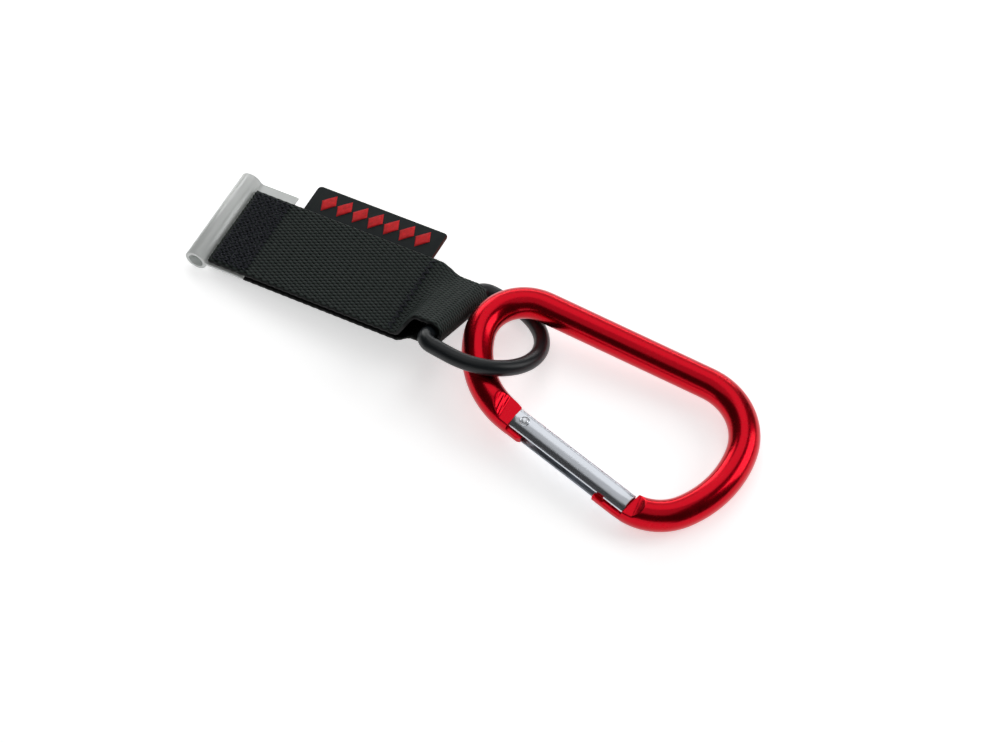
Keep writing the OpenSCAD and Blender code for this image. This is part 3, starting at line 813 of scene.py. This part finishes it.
def gate_grids(p):
    """The gate as a bent sheet: an outline of its outside from the open edge over the crown and
    round the back, and the same outline inset by the sheet, carried along the gate. Beside the
    tang the back is left out, so the top and the bottom are strips of their own."""
    half = p.gate_w / 2
    q = np.linspace(-half, half - 1.6, 22)
    crown = gate_top(q, p)
    a = np.linspace(np.pi / 2, 0, 10)[1:]
    height = crown[-1]
    corner = np.stack([half - 1.6 + 1.6 * np.cos(a), height - 1.6 + 1.6 * np.sin(a)], -1)
    web = np.stack([np.full(6, half), np.linspace(height - 1.6, 0, 7)[1:]], -1)
    upper = np.concatenate([np.stack([q, crown], -1), corner, web])
    outside = np.concatenate([upper, upper[-2::-1] * [1, -1]])
    way = np.gradient(outside, axis=0)
    way /= np.linalg.norm(way, axis=1, keepdims=True)
    normal = np.stack([-way[:, 1], way[:, 0]], -1)
    inside = outside - p.sheet_t * normal

    def lipped(outer, inner):
        """Joins two outlines into a loop whose two ends are half round."""
        def nose(a, b):
            m, h = (a + b) / 2, (a - b) / 2
            w = np.array([h[1], -h[0]])
            t = np.linspace(0, np.pi, 6)[1:-1]
            return np.array([m + h * np.cos(v) + w * np.sin(v) * 0.7 for v in t])
        return np.concatenate([outer, nose(outer[-1], inner[-1]), inner[::-1], nose(inner[0], outer[0])])

    main = bar(lipped(outside, inside), BACK_START, p.gate_end, 0.1, 8, near=False)
    k = len(q) + 5
    strip = lipped(outside[:k], inside[:k])
    top = bar(strip, -p.gate_tail, BACK_START, 0.1, 4, far=False)
    low = bar(strip * [1, -1], -p.gate_tail, BACK_START, 0.1, 4, far=False)
    tab = circle(1.0, 24) * [1.9, 1.75]
    tab = np.sign(tab) * np.abs(tab) ** 0.7 * [1.2, 1.15]
    return [main, top, low, bar(tab + [0.15, 0], TAB_X, TAB_X + p.sheet_t, 0.1, 1)]


def lathe(profile, count=48):
    """A profile of (radius, height) turned about Z. The ends of the profile are on the axis, but
    for a hair, so the flat faces that close them are too small to see."""
    t = angles(count)
    r, z = np.asarray(profile, float).T
    r = np.maximum(r, 0.004)
    up = np.broadcast_to(z[:, None], (len(r), count))
    return np.stack([r[:, None] * np.cos(t), r[:, None] * np.sin(t), up], -1)


def rivet_profile(p):
    """Half a rivet from its middle up: shank, flange with a rounded rim, groove and dome."""
    top = float(gate_top(np.array(0.0), p))
    a = np.radians(np.linspace(0, 90, 10))
    dome = [(0.85 * math.cos(v), top + 0.16 + 0.3 * math.sin(v)) for v in a]
    rim = [(1.1 + 0.2 * math.sin(v), top + 0.06 - 0.2 * math.cos(v))
           for v in np.radians([0, 45, 90, 135, 180])]
    half = [(0.9, 0.0), (0.9, top - 0.16)] + rim + [(0.95, top + 0.14)] + dome
    return [(r, -z) for r, z in half[::-1]] + half[1:]


def spring_grid(p, x0, x1, turns):
    """A coil: the wire's round section on a circle about the gate's axis that moves on evenly, but
    for its first and last turns, which lie closed."""
    steps = 28 * turns
    t = np.linspace(0, 1, steps + 1)
    rest = np.clip((t * turns - 0.8) / (turns - 1.6), 0, 1)
    pitch = 0.8 * 1.05 * p.wire_d
    run = x0 + pitch * np.minimum(t * turns / 0.8, 1) + (x1 - x0 - 2 * pitch) * rest
    run += pitch * np.maximum((t * turns - turns + 0.8) / 0.8, 0)
    r, a = (p.spring_d - p.wire_d) / 2, 2 * np.pi * turns * t
    path = np.stack([run, r * np.cos(a), r * np.sin(a)], -1)
    out = np.stack([np.zeros_like(a), np.cos(a), np.sin(a)], -1)
    way = np.gradient(path, axis=0)
    way /= np.linalg.norm(way, axis=1, keepdims=True)
    up = np.cross(way, out)
    w = angles(10)
    ring = np.cos(w)[:, None] * out[:, None] + np.sin(w)[:, None] * up[:, None]
    return path[:, None] + p.wire_d / 2 * ring


# Operators -----------------------------------------------------------------------------------


def plan_and_colours(context):
    """The plan worked out from the scene's sizes, and the scene's colours."""
    return Plan(context.scene.keyring_sizes), context.scene.keyring_colours


class KEYRING_OT_sleeve(Operator):
    """Makes the clear vinyl tube with the flap that the webbing grips"""

    bl_idname = "keyring.sleeve"
    bl_label = "Clear tube"
    bl_options = {"REGISTER", "UNDO"}

    def execute(self, context):
        p, c = plan_and_colours(context)
        grid = sleeve_grid(p)
        tilted = p.strap.shift(0, p.sleeve_shift, 0)
        piece = skin("clear_tube", [(tilted.put(grid), True)], clear_vinyl(c), sharp=35)
        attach(piece, "strap")
        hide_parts("clear_sleeve")
        return {"FINISHED"}


class KEYRING_OT_webbing(Operator):
    """Makes the folded webbing strap and its frayed ends"""

    bl_idname = "keyring.webbing"
    bl_label = "Webbing strap"
    bl_options = {"REGISTER", "UNDO"}

    def execute(self, context):
        p, c = plan_and_colours(context)
        grid, uv, height, long = strap_grid(p)
        yarn = webbing_yarn(c)
        piece = skin("webbing", [(p.strap.put(grid), False)], yarn, [uv], [height], sharp=80)
        tufts = fray_tufts(p, np.random.default_rng(7))
        fray = skin("frayed_ends", [(p.strap.put(g), False) for g in tufts],
                    sewing_thread("frayed_yarn_cut", tuple(c.fray), 4.0), [thread_uv(g) for g in tufts])
        for o in (piece, fray):
            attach(o, "strap")
        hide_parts("webbing_strap")
        return {"FINISHED"}


class KEYRING_OT_stitching(Operator):
    """Makes the zigzag stitching at the tube and behind the ring"""

    bl_idname = "keyring.stitching"
    bl_label = "Stitching"
    bl_options = {"REGISTER", "UNDO"}

    def execute(self, context):
        p, c = plan_and_colours(context)
        thread = sewing_thread("thread_polyester_bonded", tuple(c.thread), 2.6)
        places = np.arange(p.cut_x + 1.4, p.cut_x + p.flap_grip + 0.2, 1.45)
        rows = [zigzag(p, x, 0.8, 1.3, side) for x in places for side in (-1, 1)]
        first = skin("tube_stitching", [(p.strap.put(g), False) for g in rows], thread,
                     [thread_uv(g) for g in rows])
        rows = [zigzag(p, p.tack_x - 1.6, 0.8, 1.9, side) for side in (-1, 1)]
        second = skin("fold_stitching", [(p.strap.put(g), False) for g in rows], thread,
                      [thread_uv(g) for g in rows])
        for o, node in ((first, "sleeve_stitching"), (second, "ring_stitching")):
            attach(o, "strap")
            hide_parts(node)
        return {"FINISHED"}


class KEYRING_OT_label(Operator):
    """Makes the woven label and its embroidered diamonds"""

    bl_idname = "keyring.label"
    bl_label = "Label"
    bl_options = {"REGISTER", "UNDO"}

    def execute(self, context):
        p, c = plan_and_colours(context)
        grid, uv = label_grid(p)
        label = skin("label", [(p.strap.put(grid), False)], label_cloth(c, p.label_len), [uv], sharp=50)
        grids, uvs = diamond_grids(p)
        red = sewing_thread("embroidery_rayon_satin", tuple(c.stitch), 1.6)
        motif = skin("label_diamonds", [(p.strap.put(g), False) for g in grids], red, uvs, sharp=60)
        for o, node, slot in ((label, "label_tape", "label_weave"), (motif, "label_embroidery", "red_thread")):
            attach(o, "strap")
            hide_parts(node)
        return {"FINISHED"}


class KEYRING_OT_ring(Operator):
    """Makes the moulded ring"""

    bl_idname = "keyring.ring"
    bl_label = "Ring"
    bl_options = {"REGISTER", "UNDO"}

    def execute(self, context):
        p, c = plan_and_colours(context)
        piece = skin("ring", [(p.ring.put(ring_grid(p)), True)], ring_acetal(c))
        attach(piece, "ring")
        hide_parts("d_ring")
        return {"FINISHED"}


class KEYRING_OT_carabiner(Operator):
    """Makes the carabiner's bent and milled rod"""

    bl_idname = "keyring.carabiner"
    bl_label = "Carabiner"
    bl_options = {"REGISTER", "UNDO"}

    def execute(self, context):
        p, c = plan_and_colours(context)
        piece = skin("carabiner", [(p.carabiner.put(rod_grid(p)), False)], anodised_aluminium(c), sharp=38)
        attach(piece, "carabiner")
        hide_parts("carabiner_body")
        return {"FINISHED"}


class KEYRING_OT_gate(Operator):
    """Makes the stamped gate, its rivet, and the pin and spring inside it"""

    bl_idname = "keyring.gate"
    bl_label = "Gate"
    bl_options = {"REGISTER", "UNDO"}

    def execute(self, context):
        p, c = plan_and_colours(context)
        zinc = bright_metal("gate_steel_zinc_plated", tuple(c.zinc), 0.2, 9.0)
        sheets = gate_grids(p)
        inside = [((np.abs(g[..., 2]) < gate_top(g[..., 1], p) - 0.2) & (g[..., 1] < p.gate_w / 2 - 0.2)) * 1.0
                  for g in sheets]
        gate = skin("gate", [(p.gate.put(g), False) for g in sheets], zinc, crown=inside, sharp=35)
        rivet = skin("rivet", [(p.gate.put(lathe(rivet_profile(p))), False)],
                     bright_metal("rivet_steel_headed", tuple(c.rivet), 0.3, 1.5, 0.08), sharp=35)
        steel = bright_metal("spring_steel_drawn", tuple(c.wire), 0.26, 2.0)
        pin_x, head = p.tang_end + 0.1, 1.3
        along = p.gate.shift(pin_x, 0, 0).turn("y", 90)
        profile = [(0, 0), (0.95, 0), (1.05, 0.04), (1.1, 0.15), (1.1, head - 0.12), (1.02, head),
                   (0.6, head + 0.02), (0.55, head + 0.1), (0.55, head + 5.8), (0.45, head + 6), (0, head + 6)]
        pin = skin("spring_pin", [(along.put(lathe(profile, 32)), False)], steel, sharp=35)
        start = pin_x + head + p.wire_d / 2 + 0.02
        coil = spring_grid(p, start, TAB_X - 0.02 - p.wire_d / 2, 10)
        spring = skin("spring", [(p.gate.put(coil), False)], steel)
        for o, body, node, slot in ((gate, "gate", "gate_channel", "plated_steel"),
                                    (rivet, "gate", "gate_rivet", "rivet_metal"),
                                    (pin, "plunger", "gate_plunger", "spring_wire"),
                                    (spring, "gate", "gate_spring", "spring_wire")):
            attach(o, body)
            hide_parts(node)
        return {"FINISHED"}


class KEYRING_OT_studio(Operator):
    """Makes the floor, the lights and the camera"""

    bl_idname = "keyring.studio"
    bl_label = "Studio"
    bl_options = {"REGISTER", "UNDO"}

    def execute(self, context):
        p, c = plan_and_colours(context)
        scene = context.scene
        scene.view_settings.view_transform = "Standard"
        z = -p.sleeve_d / 2 - 0.02
        n = 41
        x, y = np.meshgrid(np.linspace(-900, 1100, n), np.linspace(-1000, 1000, n), indexing="ij")
        mesh = bpy.data.meshes.new("floor")
        index = np.arange(n * n).reshape(n, n)
        faces = np.stack([index[:-1, :-1], index[1:, :-1], index[1:, 1:], index[:-1, 1:]], -1)
        faces = faces.reshape(-1, 4)
        points = np.stack([x, y, np.full_like(x, z)], -1).reshape(-1, 3) * 0.001
        mesh.from_pydata(points.tolist(), [], faces.tolist())
        floor = bpy.data.objects.new("floor", mesh)
        scene.collection.objects.link(floor)
        paper, tree, shader, at = finish("floor_acrylic_sheet_lit", tuple(c.floor), {
            "Roughness": 0.9, "Emission Color": (1, 1, 1, 1), "Emission Strength": 0.58})
        fibre = object_noise(tree, at, 300.0, 4.0)
        tree.links.new(mix(tree, fibre.outputs[0], dim(c.floor, 0.99), tuple(c.floor)),
                       shader.inputs["Base Color"])
        mesh.materials.append(paper)

        centre = Vector((0.0835, -0.0053, -0.003))
        yaw, pitch, far = math.radians(28.4), math.radians(57), 0.9
        back = Vector((math.sin(yaw) * math.cos(pitch), -math.cos(yaw) * math.cos(pitch),
                       math.sin(pitch)))
        camera = bpy.data.objects.new("camera", bpy.data.cameras.new("camera"))
        scene.collection.objects.link(camera)
        camera.location = centre + back * far
        camera.rotation_mode = "QUATERNION"
        camera.rotation_quaternion = (-back).to_track_quat("-Z", "Y")
        camera.data.sensor_width, camera.data.lens = 36, 129
        camera.data.clip_start, camera.data.clip_end = 0.05, 10
        scene.camera = camera

        side = Vector((math.cos(yaw), math.sin(yaw), 0))
        away = Vector((-math.sin(yaw), math.cos(yaw), 0))
        up = Vector((0, 0, 1))
        # soft boxes behind, overhead and on the right, low strips behind and a low card in front,
        # which the metal mirrors; each row is name, place, width, height in metres and watts
        for name, spot, wide, tall, power in (
                ("soft_box_back", side * 0.06 + away * 0.37 + up * 0.64, 0.62, 0.52, 1.15),
                ("soft_box_top", side * -0.03 + away * -0.11 + up * 0.75, 0.66, 0.52, 0.62),
                ("soft_box_low", away * 0.75 + up * 0.42, 1.2, 0.34, 0.85),
                ("strip_far_left", side * -0.35 + away * 0.75 + up * 0.38, 0.3, 0.3, 0.6),
                ("strip_far", away * 0.85 + up * 0.2, 1.2, 0.12, 2.0),
                ("card_front", side * -0.25 + away * -0.75 + up * 0.1, 1.3, 0.2, 0.8),
                ("soft_box_right", side * 0.8 + away * 0.1 + up * 0.45, 0.5, 0.6, 2.6)):
            light = bpy.data.lights.new(name, "AREA")
            light.shape, light.size, light.size_y, light.energy = "RECTANGLE", wide, tall, power
            lamp = bpy.data.objects.new(name, light)
            scene.collection.objects.link(lamp)
            lamp.location = centre + spot
            lamp.rotation_mode = "QUATERNION"
            lamp.rotation_quaternion = (-spot).to_track_quat("-Z", "Y")

        world = bpy.data.worlds.new("studio_room")
        scene.world = world
        world.use_nodes = True
        tree = world.node_tree
        sky = tree.nodes["Background"]
        sky.inputs["Color"].default_value = (1, 1, 1, 1)
        sky.inputs["Strength"].default_value = 0.06
        return {"FINISHED"}


class KEYRING_PT_panel(Panel):
    """Sizes, colours and steps of the keyring"""

    bl_label = "Keyring"
    bl_idname = "KEYRING_PT_panel"
    bl_space_type = "VIEW_3D"
    bl_region_type = "UI"
    bl_category = "Keyring"

    def draw(self, context):
        for group in (context.scene.keyring_sizes, context.scene.keyring_colours):
            box = self.layout.box()
            for name in type(group).__annotations__:
                box.prop(group, name)
        for step in STEPS:
            self.layout.operator(step.bl_idname)


STEPS = (KEYRING_OT_studio, KEYRING_OT_sleeve, KEYRING_OT_webbing, KEYRING_OT_stitching,
         KEYRING_OT_label, KEYRING_OT_ring, KEYRING_OT_carabiner, KEYRING_OT_gate)
CLASSES = (KeyringSizes, KeyringColours, *STEPS, KEYRING_PT_panel)


def register():
    for cls in CLASSES:
        bpy.utils.register_class(cls)
    bpy.types.Scene.keyring_sizes = PointerProperty(type=KeyringSizes)
    bpy.types.Scene.keyring_colours = PointerProperty(type=KeyringColours)


def unregister():
    del bpy.types.Scene.keyring_sizes
    del bpy.types.Scene.keyring_colours
    for cls in reversed(CLASSES):
        bpy.utils.unregister_class(cls)


def main():
    """Runs every step."""
    register()
    bpy.ops.keyring.studio()
    bpy.ops.keyring.sleeve()
    bpy.ops.keyring.webbing()
    bpy.ops.keyring.stitching()
    bpy.ops.keyring.label()
    bpy.ops.keyring.ring()
    bpy.ops.keyring.carabiner()
    bpy.ops.keyring.gate()
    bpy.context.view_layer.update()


if __name__ == "__main__":
    main()
